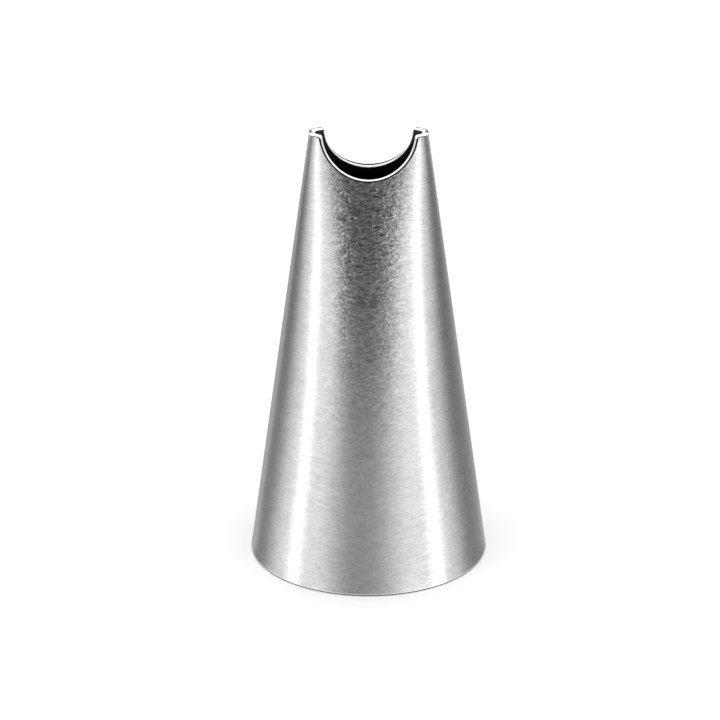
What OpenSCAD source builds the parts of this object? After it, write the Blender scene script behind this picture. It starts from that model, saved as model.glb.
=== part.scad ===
// A piping nozzle for pastry work: one thin shell of formed stainless sheet. It stands on its
// round base and tapers to a narrow slot of a mouth, and a half-round notch cut through the
// mouth from front to back leaves two horns. The base lies in the plane z = 0, centred on the
// Z axis, and the slot runs along X.

/* [Base] */
// Outer diameter of the round base
base_d = 17.4; // [15:0.1:22]

/* [Body] */
// Height of the horn tips above the base
height = 33.8; // [28:0.1:42]
// Thickness of the sheet, measured level
wall = 0.45; // [0.3:0.05:0.6]
// How late the round shell is pressed flat: higher values start further up
flattening_delay = 2.2; // [1:0.1:3]
// How late the section squares up: higher values start further up
squaring_delay = 5; // [1:0.5:8]

/* [Mouth] */
// Outer width of the slot, along X
mouth_w = 8.8; // [7.4:0.1:11]
// Outer depth of the slot, front to back
mouth_d = 2.3; // [1.8:0.1:3.6]
// Squareness of the slot: 2 is an ellipse, and higher values have flatter sides
mouth_power = 3; // [2:0.1:6]

/* [Notch] */
// Width left at the tip of each horn, before its corner is rounded
horn_w = 0.9; // [0.7:0.05:1.6]
// How far above the tips the centre of the notch's arc lies
notch_lift = 0.2; // [0:0.05:0.6]
// Radius where the notch rolls over on to the tips
corner_r = 0.25; // [0.1:0.05:0.4]

/* [Smoothness] */
// Points round each section of the shell
columns = 96; // [48:8:120]
// Steps from the base to the mouth
rings = 16; // [8:1:20]

/* [Hidden] */
$fn = 64;

// How far each cutter runs past the face that it opens
overrun = 0.5;

// Depth as a share of the width, and power of the curve, of a round section
round_share = 1;
round_power = 2;
// Depth as a share of the width at the mouth
mouth_share = mouth_d / mouth_w;

// Factors of the cubic that starts and ends level and runs from 0 to 1
ease_rise = 3;
ease_fall = 2;

// Half the notch's width in the plane of the tips
notch_half = mouth_w / 2 - horn_w;
// Radius of the notch's arc, which is a little less than half a circle
notch_r = sqrt(pow(notch_half, 2) + pow(notch_lift, 2));

// Centres of the corner circles, which touch the plane of the tips and the notch
corner_x = sqrt(pow(notch_r + corner_r, 2) - pow(notch_lift + corner_r, 2));
// Depth below the tips at which the corner circles meet the notch
corner_drop = (notch_lift + corner_r) * notch_r / (notch_r + corner_r) - notch_lift;

// How far up the shell a height z lies: 0 at the base and 1 at the tips
function rise(z) = z / height;

// How far a change has gone at height z: 0 where the shell is round and 1 at the mouth
function progress(z, delay) = pow(max(rise(z), 0), delay);

// The same change with a soft end as well, for walls that run almost parallel at the mouth
function soft_progress(z, delay) =
    let (t = min(progress(z, delay), 1))
    t * t * (ease_rise - ease_fall * t);

// Half width along X of the outer face, which tapers in a straight line
function half_w(z) = (base_d + (mouth_w - base_d) * rise(z)) / 2;

// Half depth along Y of the outer face, a share of the width that falls as the shell flattens
function half_d(z) =
    let (flat = soft_progress(z, flattening_delay))
    half_w(z) * (round_share + (mouth_share - round_share) * flat);

// Power of the section's curve, which squares up from a circle to the slot
function power(z) =
    round_power + (mouth_power - round_power) * progress(z, squaring_delay);

// One coordinate of a superellipse: c is the cosine or sine of the angle round the section
function bulge(c, half, n) = half * sign(c) * pow(abs(c), 2 / n);

// The closed section at height z, drawn in from the outer face by the given inset
function section(z, inset) = [
    for (i = [0 : columns - 1])
        let (angle = 360 * i / columns)
        [
            bulge(cos(angle), half_w(z) - inset, power(z)),
            bulge(sin(angle), half_d(z) - inset, power(z)),
            z
        ]
];

// A closed solid through the sections from height z0 to height z1
module loft(z0, z1, inset) {
    points = [
        for (j = [0 : rings])
            each section(z0 + (z1 - z0) * j / rings, inset)
    ];
    sides = [
        for (j = [0 : rings - 1], i = [0 : columns - 1])
            let (
                low = j * columns + i,
                low_next = j * columns + (i + 1) % columns,
                high = low + columns,
                high_next = low_next + columns
            )
            each [[low, high, high_next], [low, high_next, low_next]]
    ];
    bottom = [for (i = [0 : columns - 1]) i];
    top = [for (i = [columns - 1 : -1 : 0]) rings * columns + i];
    polyhedron(points = points, faces = concat(sides, [bottom, top]));
}

// Outline of the notch seen from the front, with its origin at the middle of the tips' plane
module notch_outline() {
    translate([0, notch_lift])
        circle(r = notch_r);
    difference() {
        translate([-corner_x, -corner_drop])
            square([2 * corner_x, corner_drop + overrun]);
        for (side = [-1, 1])
            translate([side * corner_x, -corner_r])
                circle(r = corner_r);
    }
}

// The notch as one straight cut from front to back
module notch() {
    translate([0, 0, height])
        rotate([90, 0, 0])
            linear_extrude(height = base_d, center = true)
                notch_outline();
}

// The whole nozzle: a round base blended into the slot, hollow all through and notched
module nozzle_shell() {
    color("silver")
        difference() {
            loft(0, height, 0);
            loft(-overrun, height + overrun, wall);
            notch();
        }
}

nozzle_shell();
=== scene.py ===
"""Visual model of a piping nozzle in brushed steel, with the studio that it stands in.

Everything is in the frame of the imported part: the base lies in the plane z = 0, centred on the
Z axis, and the slot of the mouth runs along X. Lengths are in metres, unless a class says
otherwise.
"""

import logging
import math
from dataclasses import asdict, dataclass
from enum import Enum, IntEnum
from typing import ClassVar

import bpy
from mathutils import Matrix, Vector

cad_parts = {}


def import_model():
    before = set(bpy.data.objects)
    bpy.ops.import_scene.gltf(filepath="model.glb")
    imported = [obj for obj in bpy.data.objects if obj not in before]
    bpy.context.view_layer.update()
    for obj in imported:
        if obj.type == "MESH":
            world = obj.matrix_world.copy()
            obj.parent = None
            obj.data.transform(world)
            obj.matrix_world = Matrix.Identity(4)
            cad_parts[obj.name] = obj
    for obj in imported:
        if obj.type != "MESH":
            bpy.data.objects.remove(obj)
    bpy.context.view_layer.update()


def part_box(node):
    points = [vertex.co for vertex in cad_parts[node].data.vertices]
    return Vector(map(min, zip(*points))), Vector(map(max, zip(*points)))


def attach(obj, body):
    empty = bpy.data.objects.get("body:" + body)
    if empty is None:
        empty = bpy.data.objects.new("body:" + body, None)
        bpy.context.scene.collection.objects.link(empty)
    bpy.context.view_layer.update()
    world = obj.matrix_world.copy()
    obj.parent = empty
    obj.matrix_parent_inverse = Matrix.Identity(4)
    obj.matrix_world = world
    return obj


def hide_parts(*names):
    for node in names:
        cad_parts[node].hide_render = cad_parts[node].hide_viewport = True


SHELL_NODE = "nozzle_shell"
BODY = "root"
MM = 0.001
# In degrees
FULL_TURN = 360
HALF_TURN = 180
# In radians
RIGHT_ANGLE = math.pi / 2
# Quarters of the way round the shell, and the share of the way at which the front half begins
QUARTERS = 4.0
HALFWAY = 0.5
# Stretches of a cut edge's outline: a bend, a flat and a bend
EDGE_PARTS = 3.0
# Value that a noise swings about
NOISE_MIDDLE = 0.5

log = logging.getLogger("piping_nozzle")


class Finish(IntEnum):
    """Which finish a face of the shell has, painted shade and a painted highlight among them."""

    BRUSHED = 0
    # Bright cut faces, also used as a painted highlight line on the base's bend
    CUT_FACE_AND_HIGHLIGHT = 1
    # Near-black painted shade over the whole inside
    INSIDE = 2
    # Near-black painted shade along the outer corners of the cut edges
    PAINTED_EDGE_SHADE = 3


class Zone(Enum):
    """The four stretches of the sheet's outline, with each one's start and end on the UV map."""

    OUTSIDE = (0.0, 0.46)
    RIM = (0.46, 0.5)
    INSIDE = (0.5, 0.96)
    BASE = (0.96, 1.0)


class Field:
    """A number that changes over a surface, held as a socket of a node tree."""

    def __init__(self, tree: bpy.types.NodeTree, socket: bpy.types.NodeSocket) -> None:
        """Keep a socket so that formulas can use it.

        Args:
            tree: The node tree that the socket is in.
            socket: An output that carries one number.
        """
        self.tree = tree
        self.socket = socket

    def math(self, operation: str, *others: "Field | float") -> "Field":
        """Put a Math node behind this value.

        Args:
            operation: The name of the Math node's operation.
            others: The operands after this one.

        Returns:
            The node's result.
        """
        node = self.tree.nodes.new("ShaderNodeMath")
        node.operation = operation
        for place, operand in enumerate((self, *others)):
            if isinstance(operand, Field):
                self.tree.links.new(operand.socket, node.inputs[place])
            else:
                node.inputs[place].default_value = operand
        return Field(self.tree, node.outputs[0])

    def __add__(self, other: "Field | float") -> "Field":
        """Return the sum."""
        return self.math("ADD", other)

    def __sub__(self, other: "Field | float") -> "Field":
        """Return the difference."""
        return self.math("SUBTRACT", other)

    def __mul__(self, other: "Field | float") -> "Field":
        """Return the product."""
        return self.math("MULTIPLY", other)

    def __truediv__(self, other: "Field | float") -> "Field":
        """Return the quotient."""
        return self.math("DIVIDE", other)

    def __pow__(self, other: "Field | float") -> "Field":
        """Return this value raised to a power."""
        return self.math("POWER", other)

    def rest(self) -> "Field":
        """Return how much the value lacks of 1."""
        return self * -1.0 + 1.0

    def clamped(self) -> "Field":
        """Return the value held between 0 and 1."""
        return self.math("MAXIMUM", 0.0).math("MINIMUM", 1.0)

    def towards(self, other: "Field | float", share: "Field | float") -> "Field":
        """Return the value that lies the given share of the way to another."""
        goal = other if isinstance(other, Field) else self.math("MULTIPLY", 0.0) + other
        return self + (goal - self) * share


class TreeWriter:
    """Adds nodes to a tree and links their sockets by name."""

    def __init__(self, tree: bpy.types.NodeTree) -> None:
        """Keep the tree to write in.

        Args:
            tree: A geometry or shader tree.
        """
        self.tree = tree

    def node(self, kind: str, links: dict | None = None, **settings: object) -> bpy.types.Node:
        """Add one node.

        Args:
            kind: The node's type name.
            links: Input name or place, mapped to an output socket, a Field or a plain value.
            settings: Properties to set before the sockets are used.

        Returns:
            The new node.
        """
        node = self.tree.nodes.new(kind)
        for name, value in settings.items():
            setattr(node, name, value)
        for name, value in (links or {}).items():
            source = value.socket if isinstance(value, Field) else value
            if isinstance(source, bpy.types.NodeSocket):
                self.tree.links.new(source, node.inputs[name])
            else:
                node.inputs[name].default_value = source
        return node

    def number(self, socket: bpy.types.NodeSocket) -> Field:
        """Return a socket as a Field."""
        return Field(self.tree, socket)

    def constant(self, value: float) -> Field:
        """Make a plain number a Field.

        Args:
            value: The number.

        Returns:
            A Field that has this value everywhere.
        """
        node = self.node("ShaderNodeValue")
        node.outputs[0].default_value = value
        return self.number(node.outputs[0])

    def vector(
        self, operation: str, first: bpy.types.NodeSocket, second: bpy.types.NodeSocket
    ) -> bpy.types.NodeSocket:
        """Return the vector that a Vector Math node makes of two others."""
        node = self.node("ShaderNodeVectorMath", {0: first, 1: second}, operation=operation)
        return node.outputs[0]

    def scaled(
        self, vector: bpy.types.NodeSocket | tuple[float, float, float], factor: Field | float
    ) -> bpy.types.NodeSocket:
        """Return a vector times a factor."""
        node = self.node("ShaderNodeVectorMath", {0: vector, "Scale": factor}, operation="SCALE")
        return node.outputs[0]

    def point(self, x: Field, y: Field, z: Field) -> bpy.types.NodeSocket:
        """Return the point with these coordinates."""
        return self.node("ShaderNodeCombineXYZ", {"X": x, "Y": y, "Z": z}).outputs[0]

    def between(
        self, start: bpy.types.NodeSocket, end: bpy.types.NodeSocket, share: Field | float
    ) -> bpy.types.NodeSocket:
        """Return the point that lies the given share of the way from start to end."""
        span = self.vector("SUBTRACT", end, start)
        return self.vector("ADD", start, self.scaled(span, share))

    def distance(self, start: bpy.types.NodeSocket, end: bpy.types.NodeSocket) -> Field:
        """Return the distance between two points."""
        node = self.node("ShaderNodeVectorMath", {0: start, 1: end}, operation="DISTANCE")
        return self.number(node.outputs["Value"])

    def bend(
        self,
        start: bpy.types.NodeSocket,
        corner: bpy.types.NodeSocket,
        end: bpy.types.NodeSocket,
        share: Field,
    ) -> bpy.types.NodeSocket:
        """Return a point on the smooth bend that replaces a corner.

        Args:
            start: Where the bend leaves the first face.
            corner: The sharp corner.
            end: Where the bend meets the second face.
            share: How far along the bend, from 0 to 1.

        Returns:
            The point.
        """
        first = self.between(start, corner, share)
        second = self.between(corner, end, share)
        return self.between(first, second, share)


def empty_material(name: str) -> tuple[bpy.types.Material, TreeWriter]:
    """Make a material without nodes.

    Args:
        name: The material's name.

    Returns:
        The material and a writer for its tree.
    """
    material = bpy.data.materials.new(name)
    material.use_nodes = True
    material.node_tree.nodes.clear()
    return material, TreeWriter(material.node_tree)


@dataclass
class ShellSizes:
    """The driving sizes of the shell. The base and the height come from the frame.

    Lengths are in metres. Powers, delays and the turn of the cut are plain numbers. The cut of
    the notch turns outwards towards the horns, and at the back it tapers by as much on each side
    and falls towards the inside.
    """

    base_radius: float
    height: float
    wall: float = 0.45 * MM
    mouth_width: float = 8.8 * MM
    mouth_depth: float = 2.3 * MM
    mouth_power: float = 3.0
    flattening_delay: float = 2.2
    squaring_delay: float = 5.0
    horn_width: float = 0.9 * MM
    notch_lift: float = 0.2 * MM
    front_corner_radius: float = 0.25 * MM
    back_corner_radius: float = 0.12 * MM
    edge_radius: float = 0.07 * MM
    base_edge_radius: float = 0.17 * MM
    cut_turn: float = 1.7
    cut_taper: float = 0.15 * MM
    cut_fall: float = 0.08 * MM

    @classmethod
    def from_frame(cls) -> "ShellSizes":
        """Read the base and the height from the part's node.

        Returns:
            The sizes of the shell.
        """
        low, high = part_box(SHELL_NODE)
        return cls(base_radius=(high[0] - low[0]) / 2, height=high[2] - low[2])


@dataclass
class MeshDensity:
    """How many columns and rows of faces the shell has."""

    columns: int = 416
    wall_rows: int = 44
    edge_rows: int = 15


class ShellRule:
    """The rule that every point of the shell follows, written as fields of one node tree.

    The tip's and the corner's shares say how far into a quarter's columns each one ends.
    """

    round_power = 2.0
    ease_rise = 3.0
    ease_fall = 2.0
    tip_share = 0.14
    corner_share = 0.22

    def __init__(self, writer: TreeWriter, sizes: dict[str, Field]) -> None:
        """Work out the values that all formulas share.

        Args:
            writer: Writer for the tree.
            sizes: The named inputs of the tree.
        """
        self.writer = writer
        self.sizes = sizes
        self.half_mouth = sizes["Mouth Width"] / 2.0
        half_notch = self.half_mouth - sizes["Horn Width"]
        self.notch_radius = (half_notch**2.0 + sizes["Notch Lift"] ** 2.0).math("SQRT")

    @staticmethod
    def quarter_share(around: Field) -> Field:
        """Return how far into its quarter a column lies, from 0 at the slot's end to 1."""
        return (around * QUARTERS).math("PINGPONG", 1.0)

    @staticmethod
    def at_back(around: Field) -> Field:
        """Return 1 on the back half of the way round and 0 on the front half."""
        return around.math("LESS_THAN", HALFWAY)

    def progress(self, z: Field, delay: Field) -> Field:
        """Return how far a change has gone at height z, from 0 at the base to 1 at the mouth."""
        return (z / self.sizes["Height"]).math("MAXIMUM", 0.0) ** delay

    def half_width(self, z: Field) -> Field:
        """Return half the outer width at height z."""
        return self.sizes["Base Radius"].towards(self.half_mouth, z / self.sizes["Height"])

    def half_depth(self, z: Field) -> Field:
        """Return half the outer depth, which falls with a soft start and end.

        Args:
            z: Height of the section.

        Returns:
            Half the depth, front to back.
        """
        steady = self.progress(z, self.sizes["Flattening Delay"])
        soft = steady * steady * (steady * -self.ease_fall + self.ease_rise)
        loss = soft * (self.sizes["Mouth Depth"] / self.sizes["Mouth Width"] - 1.0)
        return self.half_width(z) * (loss + 1.0)

    def curve_power(self, z: Field) -> Field:
        """Return the power of the section's curve at height z."""
        gain = self.sizes["Mouth Power"] - self.round_power
        return self.progress(z, self.sizes["Squaring Delay"]) * gain + self.round_power

    def face_point(
        self, around: Field, angle: Field, z: Field, inset: Field | float
    ) -> bpy.types.NodeSocket:
        """Return a point on the outer face, or on the inner one where the inset is the wall.

        Args:
            around: Share of the way round the shell, which gives the quarter.
            angle: Angle in the quarter, from 0 at the slot's end to a right angle at its side.
            z: Height of the point.
            inset: How far the section is drawn in from the outer face.

        Returns:
            The point.
        """
        power = (self.curve_power(z) / 2.0) ** -1.0
        turn = around * math.tau
        x = (self.half_width(z) - inset) * angle.math("COSINE").math("MAXIMUM", 0.0) ** power
        y = (self.half_depth(z) - inset) * angle.math("SINE").math("MAXIMUM", 0.0) ** power
        side = turn.math("COSINE").math("SIGN")
        front = turn.math("SINE").math("SIGN")
        return self.writer.point(x * side, y * front, z)

    def lean(self, x: Field, z: Field) -> Field:
        """Return how far the sheet faces along X at its middle, from 0 at its side to 1 at its end.

        Args:
            x: Distance from the middle of the slot.
            z: Height of the point.

        Returns:
            The X part of the sheet's unit normal, seen from above.
        """
        half_wall = self.sizes["Wall"] / 2.0
        power = self.curve_power(z)
        wide = self.half_width(z) - half_wall
        deep = self.half_depth(z) - half_wall
        part = (x / wide).clamped()
        depth_part = (part**power).rest().math("MAXIMUM", 0.0) ** (power**-1.0)
        along = part ** (power - 1.0) / wide
        across = depth_part ** (power - 1.0) / deep
        return along / (along * along + across * across).math("SQRT")

    def rim_place(
        self, around: Field, setback: Field | float, inset: Field | float
    ) -> tuple[Field, Field]:
        """Return where a column of faces crosses the rim, or a line drawn beside it.

        The first columns of a quarter end on the flat tip of the horn, the next on the rounded
        corner, and the rest on the round notch, whose cut opens outwards towards the horns and
        is a little narrower at the back.

        Args:
            around: Share of the way round the shell.
            setback: How far the line lies from the rim.
            inset: How far the section is drawn in from the outer face.

        Returns:
            The angle in the quarter and the height.
        """
        share = self.quarter_share(around)
        at_back = self.at_back(around)
        corner = self.sizes["Front Corner Radius"].towards(self.sizes["Back Corner Radius"], at_back)
        drop = self.sizes["Notch Lift"] + corner
        centre_x = ((self.notch_radius + corner) ** 2.0 - drop**2.0).math("SQRT")
        span = centre_x.math("ARCTAN2", drop)
        on_corner = ((share - self.tip_share) / (self.corner_share - self.tip_share)).clamped()
        on_notch = ((share - self.corner_share) / (1.0 - self.corner_share)).clamped()
        tilt = on_corner * span
        swing = on_notch.rest() * span
        corner_radius = corner - setback
        notch_radius = self.notch_radius + setback
        corner_x = centre_x - corner_radius * tilt.math("SINE")
        corner_z = self.sizes["Height"] - corner + corner_radius * tilt.math("COSINE")
        notch_x = notch_radius * swing.math("SINE")
        notch_z = self.sizes["Height"] + self.sizes["Notch Lift"] - notch_radius * swing.math("COSINE")
        in_notch = share.math("GREATER_THAN", self.corner_share)
        x = corner_x.towards(notch_x, in_notch)
        z = corner_z.towards(notch_z, in_notch)
        shift = self.lean(x, z) * self.sizes["Cut Turn"] * (self.sizes["Wall"] / 2.0 - inset)
        out = x / self.notch_radius
        shift = shift - out * self.sizes["Cut Taper"] * at_back
        inward = at_back * inset / self.sizes["Wall"]
        z = z - out.rest().clamped() * self.sizes["Cut Fall"] * inward
        part = ((x + shift) / (self.half_width(z) - inset)).clamped()
        angle = (part ** (self.curve_power(z) / 2.0)).math("ARCCOSINE")
        return angle * (share / self.tip_share).math("MINIMUM", 1.0), z


@dataclass(frozen=True)
class PaintedEdgeShade:
    """How far over the sheet's cut edges a painted dark line reaches from outside: painted shade and
    painted dark reflection on the edges' outer corners.

    Reaches are in thirds of an edge's outline, and on the base the first stretch of it gets the bright
    finish as a painted highlight line. The end's share and the start of the fade are shares of a
    quarter's columns.
    """

    front: float = 1.15
    back: float = 1.6
    tip: float = 1.15
    end: float = 1.5
    end_share: float = 0.012
    fade_start: float = 0.05
    base: float = 1.35
    # Reach of the painted highlight line on the base, in thirds of its outline
    base_highlight: float = 0.2

    def rim_shade_reach(self, around: Field) -> Field:
        """Return how far the painted dark line reaches along the rim.

        The painted shade is wider at the back, and the front of the horns' tips is left without it but
        for their very ends.

        Args:
            around: Share of the way round.

        Returns:
            The reach.
        """
        share = ShellRule.quarter_share(around)
        at_back = ShellRule.at_back(around)
        fade_span = ShellRule.corner_share - self.fade_start
        fade = ((share - self.fade_start) / fade_span).clamped()
        back = fade * (self.back - self.tip) + self.tip
        reach = (fade * self.front).towards(back, at_back)
        at_end = share.math("LESS_THAN", self.end_share)
        return reach.math("MAXIMUM", at_end * self.end)


@dataclass
class NozzleShell:
    """The formed sheet of the nozzle: its sizes, its mesh and its finishes."""

    sizes: ShellSizes
    density: MeshDensity
    # How far the painted dark line and the painted highlight line reach on the edges
    edges: PaintedEdgeShade = PaintedEdgeShade()
    merge_distance: float = 1e-7
    end_crowding: float = 0.97
    uv_name: ClassVar[str] = "UVMap"
    finish_name: ClassVar[str] = "finish"

    def inputs(self) -> dict[str, float]:
        """Return the tree's named inputs and their values."""
        return {name.replace("_", " ").title(): size for name, size in asdict(self.sizes).items()}

    def build(self, materials: dict[Finish, bpy.types.Material]) -> bpy.types.Object:
        """Make the shell as one closed mesh.

        Args:
            materials: The material of each finish.

        Returns:
            The finished object, at the origin.
        """
        tree = self.make_tree(materials)
        seed = bpy.data.objects.new("shell_maker", bpy.data.meshes.new("shell_maker"))
        bpy.context.scene.collection.objects.link(seed)
        modifier = seed.modifiers.new("shell", "NODES")
        modifier.node_group = tree
        inputs = self.inputs()
        for item in tree.interface.items_tree:
            if item.in_out == "INPUT" and item.name in inputs:
                modifier[item.identifier] = inputs[item.name]
        bpy.context.view_layer.update()
        evaluated = seed.evaluated_get(bpy.context.evaluated_depsgraph_get())
        mesh = bpy.data.meshes.new_from_object(evaluated)
        mesh.name = "formed_shell"
        bpy.data.objects.remove(seed)
        shell = bpy.data.objects.new("formed_shell", mesh)
        bpy.context.scene.collection.objects.link(shell)
        return shell

    def make_tree(self, materials: dict[Finish, bpy.types.Material]) -> bpy.types.NodeTree:
        """Write the geometry tree that lays out the shell.

        Args:
            materials: The material of each finish.

        Returns:
            The tree.
        """
        tree = bpy.data.node_groups.new("nozzle shell", "GeometryNodeTree")
        tree.interface.new_socket("Geometry", in_out="INPUT", socket_type="NodeSocketGeometry")
        for name in self.inputs():
            tree.interface.new_socket(name, in_out="INPUT", socket_type="NodeSocketFloat")
        tree.interface.new_socket("Geometry", in_out="OUTPUT", socket_type="NodeSocketGeometry")
        writer = TreeWriter(tree)
        group_input = writer.node("NodeGroupInput")
        sizes = {name: writer.number(group_input.outputs[name]) for name in self.inputs()}
        rule = ShellRule(writer, sizes)
        zones = [
            self.wall_zone(writer, rule, Zone.OUTSIDE),
            self.edge_zone(writer, rule, Zone.RIM),
            self.wall_zone(writer, rule, Zone.INSIDE),
            self.edge_zone(writer, rule, Zone.BASE),
        ]
        join = writer.node("GeometryNodeJoinGeometry")
        for zone in reversed(zones):
            tree.links.new(zone, join.inputs[0])
        merged = writer.node(
            "GeometryNodeMergeByDistance",
            {"Geometry": join.outputs[0], "Distance": self.merge_distance},
        )
        smooth = writer.node("GeometryNodeSetShadeSmooth", {0: merged.outputs[0]})
        last = writer.node("GeometryNodeRealizeInstances", {0: smooth.outputs[0]}).outputs[0]
        for finish, material in materials.items():
            last = self.dress(writer, last, finish, material)
        writer.node("NodeGroupOutput", {"Geometry": last})
        return tree

    def dress(
        self,
        writer: TreeWriter,
        geometry: bpy.types.NodeSocket,
        finish: Finish,
        material: bpy.types.Material,
    ) -> bpy.types.NodeSocket:
        """Give one finish's faces their material.

        Args:
            writer: Writer for the tree.
            geometry: The shell so far.
            finish: The finish to dress.
            material: Its material.

        Returns:
            The dressed geometry.
        """
        which = writer.node(
            "GeometryNodeInputNamedAttribute", {"Name": self.finish_name}, data_type="INT"
        )
        same = writer.node(
            "FunctionNodeCompare",
            {2: which.outputs[0], 3: int(finish)},
            data_type="INT",
            operation="EQUAL",
        )
        node = writer.node(
            "GeometryNodeSetMaterial",
            {"Geometry": geometry, "Selection": same.outputs[0], "Material": material},
        )
        return node.outputs[0]

    def sheet(self, writer: TreeWriter, rows: int) -> tuple[bpy.types.NodeSocket, Field, Field]:
        """Lay out a flat grid that a zone is bent from.

        Args:
            writer: Writer for the tree.
            rows: Number of rows of faces.

        Returns:
            The grid, the share of the way round it and the share of the way up it.
        """
        grid = writer.node(
            "GeometryNodeMeshGrid", {"Vertices X": self.density.columns + 1, "Vertices Y": rows + 1}
        )
        place = writer.node("GeometryNodeCaptureAttribute", {"Geometry": grid.outputs["Mesh"]})
        place.capture_items.new("VECTOR", "Place")
        writer.tree.links.new(grid.outputs["UV Map"], place.inputs["Place"])
        split = writer.node("ShaderNodeSeparateXYZ", {0: place.outputs["Place"]})
        around, up = (writer.number(split.outputs[axis]) for axis in ("X", "Y"))
        return place.outputs["Geometry"], around, up

    def place_zone(
        self,
        writer: TreeWriter,
        grid: bpy.types.NodeSocket,
        around: Field,
        up: Field,
        point: bpy.types.NodeSocket,
        zone: Zone,
    ) -> bpy.types.NodeSocket:
        """Bend a grid on to its place and store its map and its finish.

        Args:
            writer: Writer for the tree.
            grid: The flat grid.
            around: Share of the way round.
            up: Share of the way along the zone.
            point: Where each vertex goes.
            zone: The zone.

        Returns:
            The bent grid.
        """
        start, end = zone.value
        if zone in (Zone.RIM, Zone.BASE):
            # From outside, each cut edge gets the near-black painted shade finish as far as its reach,
            # and on the base a thin first strip of the bright finish as a painted highlight line; the
            # rest is the bright cut face.
            inwards = (up if zone is Zone.RIM else up.rest()) * EDGE_PARTS
            reach = self.edges.rim_shade_reach(around) if zone is Zone.RIM else self.edges.base
            cut = inwards.math("GREATER_THAN", reach)
            if zone is Zone.BASE:
                cut = cut + inwards.math("LESS_THAN", self.edges.base_highlight)
            finish = cut * float(Finish.CUT_FACE_AND_HIGHLIGHT - Finish.PAINTED_EDGE_SHADE) + float(Finish.PAINTED_EDGE_SHADE)
        else:
            # The inside's finish is near black: painted shade.
            finish = Finish.BRUSHED if zone is Zone.OUTSIDE else Finish.INSIDE
        flat = writer.node("ShaderNodeCombineXYZ", {"X": around, "Y": up * (end - start) + start})
        stored = writer.node(
            "GeometryNodeStoreNamedAttribute",
            {"Geometry": grid, "Name": self.uv_name, "Value": flat.outputs[0]},
            data_type="FLOAT2",
            domain="CORNER",
        )
        marked = writer.node(
            "GeometryNodeStoreNamedAttribute",
            {"Geometry": stored.outputs[0], "Name": self.finish_name, "Value": finish},
            data_type="INT",
            domain="FACE",
        )
        placed = writer.node(
            "GeometryNodeSetPosition", {"Geometry": marked.outputs[0], "Position": point}
        )
        return placed.outputs[0]

    def wall_zone(self, writer: TreeWriter, rule: ShellRule, zone: Zone) -> bpy.types.NodeSocket:
        """Make the outer or the inner wall, between the edge bends of the base and the rim.

        Args:
            writer: Writer for the tree.
            rule: The shell's rule.
            zone: OUTSIDE or INSIDE.

        Returns:
            The wall's geometry.
        """
        grid, around, up = self.sheet(writer, self.density.wall_rows)
        share = rule.quarter_share(around)
        edge = rule.sizes["Edge Radius"]
        inset = rule.sizes["Wall"] if zone is Zone.INSIDE else 0.0
        climb = up.rest() if zone is Zone.INSIDE else up
        eased = climb - (climb * math.tau).math("SINE") * (self.end_crowding / math.tau)
        rim_angle, rim_z = rule.rim_place(around, edge, inset)
        angle = (share * RIGHT_ANGLE).towards(rim_angle, eased)
        z = rule.sizes["Base Edge Radius"].towards(rim_z, eased)
        point = rule.face_point(around, angle, z, inset)
        return self.place_zone(writer, grid, around, up, point, zone)

    def edge_zone(self, writer: TreeWriter, rule: ShellRule, zone: Zone) -> bpy.types.NodeSocket:
        """Make the cut edge of the sheet at the rim or the base, with both its corners broken.

        Args:
            writer: Writer for the tree.
            rule: The shell's rule.
            zone: RIM or BASE.

        Returns:
            The edge's geometry.
        """
        grid, around, up = self.sheet(writer, self.density.edge_rows)
        edge = rule.sizes["Edge Radius" if zone is Zone.RIM else "Base Edge Radius"]
        wall = rule.sizes["Wall"]
        none = writer.constant(0.0)
        if zone is Zone.RIM:
            ends = [(edge, 0.0), (none, 0.0), (none, wall), (edge, wall)]
            corners = [
                rule.face_point(around, *rule.rim_place(around, setback, inset), inset)
                for setback, inset in ends
            ]
        else:
            angle = rule.quarter_share(around) * RIGHT_ANGLE
            ends = [(edge, wall), (none, wall), (none, 0.0), (edge, 0.0)]
            corners = [rule.face_point(around, angle, z, inset) for z, inset in ends]
        before, first, second, after = corners
        setback = edge / writer.distance(first, second)
        first_end = writer.between(first, second, setback)
        second_start = writer.between(second, first, setback)
        parts = up * EDGE_PARTS
        first_bend = writer.bend(before, first, first_end, parts.clamped())
        flat = writer.between(first_bend, second_start, (parts - 1.0).clamped())
        over_last = parts - (EDGE_PARTS - 1.0)
        second_bend = writer.bend(second_start, second, after, over_last.clamped())
        point = writer.between(flat, second_bend, over_last.math("GREATER_THAN", 0.0))
        return self.place_zone(writer, grid, around, up, point, zone)


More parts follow.
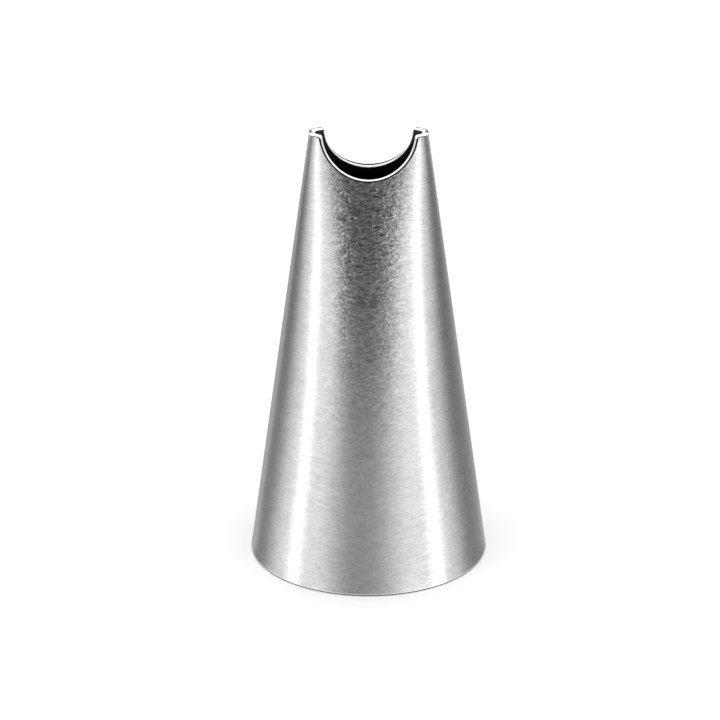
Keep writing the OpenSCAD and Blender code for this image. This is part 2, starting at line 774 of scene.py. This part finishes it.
@dataclass(frozen=True)
class GrainMap:
    """Brush marks, and the peel that pressing the mouth flat leaves, over Object coordinates.

    Lengths are in metres. Broad marks are mixed into the fine ones by the share.
    """

    name: str = "brush grain"
    mark_detail: float = 2.0
    broad_factor: float = 3.0
    broad_share: float = 0.35
    broad_detail: float = 1.0
    blotch_squash: float = 0.35
    peel_length: float = 0.42 * MM
    peel_width: float = 0.17 * MM
    peel_start: float = 9 * MM
    peel_full: float = 27 * MM
    peel_side_start: float = 3.5 * MM
    peel_side_full: float = 1.5 * MM
    peel_wave: float = 0.8
    peel_shade: float = 2.8

    def group(self) -> bpy.types.NodeTree:
        """Return the shader group, made on first use.

        Returns:
            The group, with streaks, blotches and a height as outputs.
        """
        found = bpy.data.node_groups.get(self.name)
        if found is not None:
            return found
        tree = bpy.data.node_groups.new(self.name, "ShaderNodeTree")
        inputs = ("Mark Length", "Mark Width", "Blotch Size", "Peel")
        for name in inputs:
            tree.interface.new_socket(name, in_out="INPUT", socket_type="NodeSocketFloat")
        for name in ("Streaks", "Blotches", "Height"):
            tree.interface.new_socket(name, in_out="OUTPUT", socket_type="NodeSocketFloat")
        writer = TreeWriter(tree)
        group_input = writer.node("NodeGroupInput")
        length, width, blotch, depth = (
            writer.number(group_input.outputs[name]) for name in inputs
        )
        place = writer.node("ShaderNodeTexCoord").outputs["Object"]
        fine = self.noise(writer, place, length, width, self.mark_detail)
        broad_length, broad_width = length * self.broad_factor, width * self.broad_factor
        broad = self.noise(writer, place, broad_length, broad_width, self.broad_detail)
        blotches = self.noise(writer, place, blotch, blotch * self.blotch_squash, self.mark_detail)
        streaks = fine.towards(broad, self.broad_share)
        peel_length = writer.constant(self.peel_length)
        peel_width = writer.constant(self.peel_width)
        peel = self.noise(
            writer, place, peel_length, peel_width, self.broad_detail, wave=self.peel_wave
        )
        bumps = (peel - NOISE_MIDDLE) * self.peel_mask(writer, place)
        height = streaks + bumps * depth
        streaks = streaks + bumps * depth.math("SIGN") * self.peel_shade
        writer.node("NodeGroupOutput", {"Streaks": streaks, "Blotches": blotches, "Height": height})
        return tree

    def peel_mask(self, writer: TreeWriter, place: bpy.types.NodeSocket) -> Field:
        """Return how strong the peel is: it grows towards the mouth and the middle of each side.

        Args:
            writer: Writer for the group's tree.
            place: Object coordinates.

        Returns:
            The strength, from 0 to 1.
        """
        split = writer.node("ShaderNodeSeparateXYZ", {0: place})
        x, z = (writer.number(split.outputs[axis]) for axis in ("X", "Z"))
        up = ((z - self.peel_start) / (self.peel_full - self.peel_start)).clamped()
        span = self.peel_side_full - self.peel_side_start
        middle = ((x.math("ABSOLUTE") - self.peel_side_start) / span).clamped()
        return up * middle

    def noise(
        self,
        writer: TreeWriter,
        place: bpy.types.NodeSocket,
        length: Field,
        width: Field,
        detail: float,
        wave: float = 0.0,
    ) -> Field:
        """Add noise whose marks are long and level.

        Args:
            writer: Writer for the group's tree.
            place: Object coordinates.
            length: Length of a mark, in metres.
            width: Width of a mark, in metres.
            detail: Octaves of the noise.
            wave: How far the marks wander.

        Returns:
            The noise, around NOISE_MIDDLE.
        """
        along = length**-1.0
        scale = writer.point(along, along, width**-1.0)
        stretched = writer.vector("MULTIPLY", place, scale)
        noise = writer.node(
            "ShaderNodeTexNoise",
            {"Vector": stretched, "Scale": 1.0, "Detail": detail, "Distortion": wave},
        )
        return writer.number(noise.outputs[0])


@dataclass(frozen=True)
class SteelFinish:
    """One finish of the steel. Lengths are in metres, and the brush turn is a share of a turn."""

    name: str
    colour: tuple[float, float, float]
    roughness: float
    anisotropy: float = 0.0
    brush_turn: float = 0.25
    mark_length: float = 0.9 * MM
    mark_width: float = 0.1 * MM
    blotch_size: float = 3.0 * MM
    metallic: float = 1.0
    streak_contrast: float = 0.24
    blotch_contrast: float = 0.12
    roughness_swing: float = 0.1
    peel: float = 0.0
    bump: float = 1.0
    bump_height: float = 0.0022 * MM

    def material(self) -> bpy.types.Material:
        """Make the material.

        Returns:
            A node material for this finish.
        """
        material, writer = empty_material(self.name)
        grain = writer.node(
            "ShaderNodeGroup",
            {
                "Mark Length": self.mark_length,
                "Mark Width": self.mark_width,
                "Blotch Size": self.blotch_size,
                "Peel": self.peel,
            },
            node_tree=GrainMap().group(),
        )
        streaks = writer.number(grain.outputs["Streaks"]) - NOISE_MIDDLE
        blotches = writer.number(grain.outputs["Blotches"]) - NOISE_MIDDLE
        shade = streaks * self.streak_contrast + blotches * self.blotch_contrast + 1.0
        rough = streaks * self.roughness_swing + blotches * self.roughness_swing + self.roughness
        bump = writer.node(
            "ShaderNodeBump",
            {
                "Strength": self.bump,
                "Distance": self.bump_height,
                "Height": grain.outputs["Height"],
            },
        )
        tangent = writer.node(
            "ShaderNodeTangent", direction_type="UV_MAP", uv_map=NozzleShell.uv_name
        )
        shader = writer.node(
            "ShaderNodeBsdfPrincipled",
            {
                "Base Color": writer.scaled(self.colour, shade),
                "Metallic": self.metallic,
                "Roughness": rough.clamped(),
                "Normal": bump.outputs[0],
                "Anisotropic": self.anisotropy,
                "Anisotropic Rotation": self.brush_turn,
                "Tangent": tangent.outputs[0],
            },
        )
        writer.node("ShaderNodeOutputMaterial", {"Surface": shader.outputs[0]})
        return material


class SteelFinishes:
    """The finishes of the shell."""

    brushed = SteelFinish(
        "brushed_steel",
        (0.66, 0.66, 0.665),
        0.21,
        anisotropy=0.75,
        mark_length=0.28 * MM,
        streak_contrast=0.84,
        peel=24.0,
    )
    # Near-white and partly matt: the bright cut faces of the rim, and on the base's bend a painted
    # highlight line.
    cut_face_and_highlight = SteelFinish(
        "cut_face_and_highlight", (0.92, 0.92, 0.92), 0.3, metallic=0.4, streak_contrast=0.06
    )
    # Near black: painted shade that darkens the whole inside, as a deep recess would.
    inside = SteelFinish(
        "shaded_inside", (0.06, 0.06, 0.061), 0.5, anisotropy=0.3, mark_length=2.0 * MM
    )
    # Near black: a painted dark line of shade and reflection along the cut edges' outer corners.
    painted_edge_shade = SteelFinish("painted_edge_shade", (0.02, 0.02, 0.02), 0.5, streak_contrast=0.06)

    @classmethod
    def materials(cls) -> dict[Finish, bpy.types.Material]:
        """Make all the materials.

        Returns:
            The material of each finish.
        """
        return {
            Finish.BRUSHED: cls.brushed.material(),
            Finish.CUT_FACE_AND_HIGHLIGHT: cls.cut_face_and_highlight.material(),
            Finish.INSIDE: cls.inside.material(),
            Finish.PAINTED_EDGE_SHADE: cls.painted_edge_shade.material(),
        }


@dataclass(frozen=True)
class Panel:
    """A soft-edged panel: its light falls off smoothly to both sides of its middle.

    The place and the half width are in degrees round the tent, or in millimetres up it. The
    higher the squareness, the flatter the panel's middle and the steeper its sides.
    """

    place: float
    half_width: float
    brightness: float
    squareness: float = 2.0

    def level(self, place: float) -> float:
        """Work out the panel's light at a place.

        Args:
            place: The place, in the panel's own units.

        Returns:
            The brightness that the panel adds there.
        """
        away = abs(place - self.place)
        away = min(away, FULL_TURN - away)
        return self.brightness * math.exp(-((away / self.half_width) ** self.squareness))


class RingPanel(Enum):
    """The strips and cards that stand round the nozzle."""

    LEFT_STRIP = Panel(-67.5, 7.5, 0.86)
    LEFT_INNER_CARD = Panel(-47.0, 19.0, 0.71)
    LEFT_OUTER_CARD = Panel(-80.5, 22.0, 0.74)
    RIGHT_STRIP = Panel(62.0, 8.0, 0.87)
    RIGHT_INNER_CARD = Panel(45.0, 25.0, 0.84)
    RIGHT_OUTER_CARD = Panel(79.0, 17.5, 0.52)
    BACK_CARD = Panel(177.5, 37.0, 0.35)
    BACK_LEFT_CARD = Panel(-142.5, 9.0, 0.16)


@dataclass
class LightTent:
    """A round tent of panels and cards that the metal mirrors. It lights nothing else.

    Directions are in degrees from the camera's side, and lengths are in metres, apart from the
    heights that the panels and the levels have, which are in millimetres. The nozzle stands in
    the hole, and the panels on the bottom run together at the mirror depth in front of its axis.
    """

    radius: float = 16 * MM
    height: float = 120 * MM
    sides: int = 96
    rows: int = 24
    hole_radius: float = 8.4 * MM
    mirror_depth: float = 4.35 * MM
    ceiling_level: float = 0.06
    bottom_lift: float = 0.02 * MM
    direction_step: int = 4
    height_step: int = 2
    mirrored_height: int = 60
    # How bright the upper part of the tent is in each direction
    back_levels: ClassVar[dict[float, float]] = {0: 0.12, 40: 0.3, 80: 1.2, 120: 1.7, 180: 1.7}
    # How much lower the upper part starts in each direction
    lift_levels: ClassVar[dict[float, float]] = {0: 0.0, 110: 0.0, 145: 3.0, 180: 3.0}
    # How far the upper part has taken over at each height
    high_levels: ClassVar[dict[float, float]] = {0: 0.0, 34: 0.0, 38: 1.0, 120: 1.0}
    glow: float = 0.26
    front_rise: Panel = Panel(0.0, 23.0, 1.5, squareness=2.35)
    front_spread: Panel = Panel(0.0, 27.5, 0.76, squareness=3.5)
    lean_top: float = 0.55
    lean_foot: Panel = Panel(0.0, 30.0, 0.33, squareness=8.0)

    def build(self) -> bpy.types.Object:
        """Make the tent.

        Returns:
            The tent's object.
        """
        tent = bpy.data.objects.new("light_tent", self.mesh())
        bpy.context.scene.collection.objects.link(tent)
        tent.data.materials.append(self.material())
        tent.visible_camera = False
        tent.visible_diffuse = False
        tent.visible_transmission = False
        tent.visible_shadow = False
        return tent

    def mesh(self) -> bpy.types.Mesh:
        """Turn the tent's outline round the Z axis: a bottom, a wall and a ceiling.

        Returns:
            The mesh.
        """
        outline = [(0.0, self.bottom_lift), (self.radius, self.bottom_lift)]
        outline += [(self.radius, self.height * (row + 1) / self.rows) for row in range(self.rows)]
        outline.append((0.0, self.height))
        points = []
        for radius, z in outline:
            for side in range(self.sides):
                turn = math.tau * side / self.sides
                points.append((radius * math.cos(turn), radius * math.sin(turn), z))
        faces = []
        for row in range(len(outline) - 1):
            for side in range(self.sides):
                low, low_next = row * self.sides + side, row * self.sides + (side + 1) % self.sides
                faces.append((low, low_next, low_next + self.sides, low + self.sides))
        mesh = bpy.data.meshes.new("light_tent")
        mesh.from_pydata(points, [], faces)
        return mesh

    def material(self) -> bpy.types.Material:
        """Shade the tent by direction and by height.

        Returns:
            The material.
        """
        material, writer = empty_material("light_tent")
        place = writer.node("ShaderNodeTexCoord").outputs["Object"]
        split = writer.node("ShaderNodeSeparateXYZ", {0: place})
        x, y, z = (writer.number(socket) for socket in split.outputs)
        turn = x.math("ARCTAN2", y * -1.0) * math.degrees(1.0)
        away = turn.math("ABSOLUTE")
        height = z / MM
        distance = (x * x + y * y).math("SQRT")
        # On the bottom the panels run on towards the nozzle and gather in front of it.
        gather = (distance**-1.0 * self.mirror_depth).rest() ** -1.0
        lean = self.curve(writer, height, self.lean_levels())
        direction = turn / lean * gather * (1.0 - self.mirror_depth / self.radius)
        ring = self.curve(writer, direction, self.ring_levels())
        front = self.curve(writer, height, self.front_levels())
        middle = self.curve(writer, away, self.middle_levels())
        level = ring * (front - 1.0) * middle + ring
        back = self.curve(writer, away, self.back_levels)
        lift = self.curve(writer, away, self.lift_levels)
        high = self.curve(writer, height + lift, self.high_levels)
        level = level.towards(back, high)
        level = level.towards(0.0, distance.math("LESS_THAN", self.hole_radius))
        on_ceiling = z.math("GREATER_THAN", self.height - self.bottom_lift)
        level = level.towards(self.ceiling_level, on_ceiling)
        glow = writer.node("ShaderNodeEmission", {"Strength": level})
        writer.node("ShaderNodeOutputMaterial", {"Surface": glow.outputs[0]})
        return material

    def curve(self, writer: TreeWriter, value: Field, levels: dict[float, float]) -> Field:
        """Read a value off a curve through the given points.

        Args:
            writer: Writer for the tree.
            value: Where to read.
            levels: The curve's height at each place.

        Returns:
            The curve's height.
        """
        start, end = min(levels), max(levels)
        top = max(levels.values())
        share = (value - start) / (end - start)
        node = writer.node("ShaderNodeFloatCurve", {"Value": share.clamped()})
        points = node.mapping.curves[0].points
        while len(points) < len(levels):
            points.new(0.5, 0.5)
        for point, (place, level) in zip(points, sorted(levels.items())):
            point.location = ((place - start) / (end - start), level / top)
        node.mapping.update()
        return writer.number(node.outputs[0]) * top

    def ring_levels(self) -> dict[float, float]:
        """Add up the panels that stand round the nozzle.

        Returns:
            How bright the tent is in each direction, low down.
        """
        return {
            direction: self.glow + sum(panel.value.level(direction) for panel in RingPanel)
            for direction in range(-HALF_TURN, HALF_TURN + 1, self.direction_step)
        }

    def lean_levels(self) -> dict[float, float]:
        """Lean the panels towards the camera.

        Returns:
            How far out each one stands at each height, as a share of its direction.
        """
        return {height: self.lean_top + self.lean_foot.level(height) for height in self.heights()}

    def front_levels(self) -> dict[float, float]:
        """Return how bright the front card is at each height, against the ring's brightness."""
        return {height: self.front_rise.level(height) for height in self.heights()}

    def middle_levels(self) -> dict[float, float]:
        """Return how much the front card counts in each direction."""
        directions = range(0, HALF_TURN + 1, self.direction_step)
        return {direction: self.front_spread.level(direction) for direction in directions}

    def heights(self) -> range:
        """Return the heights at which the panels' levels are worked out, in millimetres."""
        return range(0, self.mirrored_height + 1, self.height_step)


@dataclass
class Studio:
    """The floor, the light and the camera.

    Lengths are in metres, apart from the camera's sensor in millimetres, and angles in degrees.
    """

    elevation: float = 25.3
    camera_distance: float = 1.5
    pixels: float = 720.0
    pixels_per_metre: float = 13517.0
    axis_pixel: tuple[float, float] = (368.6, 546.2)
    sensor_width: float = 36.0
    clip_near: float = 0.01
    clip_far: float = 10.0
    floor_half: float = 1.2
    floor_colour: tuple[float, float, float] = (0.93, 0.93, 0.93)
    floor_glow: float = 0.2
    world_strength: float = 1.0

    def camera(self) -> bpy.types.Object:
        """Place the camera so that the middle of the base falls on its pixel.

        Returns:
            The camera.
        """
        tilt = math.radians(self.elevation)
        across = (self.axis_pixel[0] - self.pixels / 2) / self.pixels_per_metre
        up = (self.axis_pixel[1] - self.pixels / 2) / (self.pixels_per_metre * math.cos(tilt))
        target = Vector((-across, 0.0, up))
        back = Vector((0.0, -math.cos(tilt), math.sin(tilt)))
        data = bpy.data.cameras.new("camera")
        data.sensor_width = self.sensor_width
        frame_width = self.pixels / self.pixels_per_metre
        data.lens = data.sensor_width * self.camera_distance / frame_width
        data.clip_start = self.clip_near
        data.clip_end = self.clip_far
        camera = bpy.data.objects.new("camera", data)
        bpy.context.scene.collection.objects.link(camera)
        camera.location = target + back * self.camera_distance
        camera.rotation_mode = "QUATERNION"
        camera.rotation_quaternion = (-back).to_track_quat("-Z", "Y")
        bpy.context.scene.camera = camera
        return camera

    def floor(self) -> bpy.types.Object:
        """Lay a pale matt floor under the nozzle.

        Returns:
            The floor.
        """
        half = self.floor_half
        outline = [(-half, -half, 0.0), (half, -half, 0.0), (half, half, 0.0), (-half, half, 0.0)]
        mesh = bpy.data.meshes.new("studio_floor")
        mesh.from_pydata(outline, [], [(0, 1, 2, 3)])
        floor = bpy.data.objects.new("studio_floor", mesh)
        bpy.context.scene.collection.objects.link(floor)
        mesh.materials.append(self.floor_material())
        return floor

    def floor_material(self) -> bpy.types.Material:
        """Make the floor's matt white, which keeps the nozzle's shadow.

        Returns:
            The material.
        """
        material, writer = empty_material("pale_floor")
        matt = writer.node("ShaderNodeBsdfDiffuse", {"Color": (*self.floor_colour, 1.0)})
        path = writer.node("ShaderNodeLightPath")
        seen = writer.number(path.outputs["Is Camera Ray"])
        seen = seen.math("MAXIMUM", writer.number(path.outputs["Is Glossy Ray"]))
        seen = seen.math("MAXIMUM", writer.number(path.outputs["Is Transmission Ray"]))
        glow = writer.node("ShaderNodeEmission", {"Strength": seen * self.floor_glow})
        both = writer.node("ShaderNodeAddShader", {0: matt.outputs[0], 1: glow.outputs[0]})
        writer.node("ShaderNodeOutputMaterial", {"Surface": both.outputs[0]})
        return material

    def world(self) -> bpy.types.World:
        """Fill the studio with even white light.

        Returns:
            The world.
        """
        world = bpy.data.worlds.new("studio")
        world.use_nodes = True
        background = world.node_tree.nodes["Background"]
        background.inputs["Color"].default_value = (1.0, 1.0, 1.0, 1.0)
        background.inputs["Strength"].default_value = self.world_strength
        bpy.context.scene.world = world
        return world

    def build(self) -> None:
        """Set up the camera, the floor and the light."""
        self.camera()
        self.floor()
        self.world()
        LightTent().build()
        bpy.context.scene.view_settings.view_transform = "Standard"


def corners(box: tuple[Vector, Vector]) -> list[list[float]]:
    """Return a box as plain lists of numbers."""
    return [[float(value) for value in corner] for corner in box]


def main() -> None:
    """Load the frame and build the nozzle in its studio."""
    logging.basicConfig(level=logging.INFO, format="%(name)s: %(message)s")
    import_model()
    Studio().build()
    sizes = ShellSizes.from_frame()
    shell = NozzleShell(sizes, MeshDensity()).build(SteelFinishes.materials())
    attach(shell, BODY)
    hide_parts(SHELL_NODE)
    log.info("%s: %d faces", shell.name, len(shell.data.polygons))


if __name__ == "__main__":
    main()
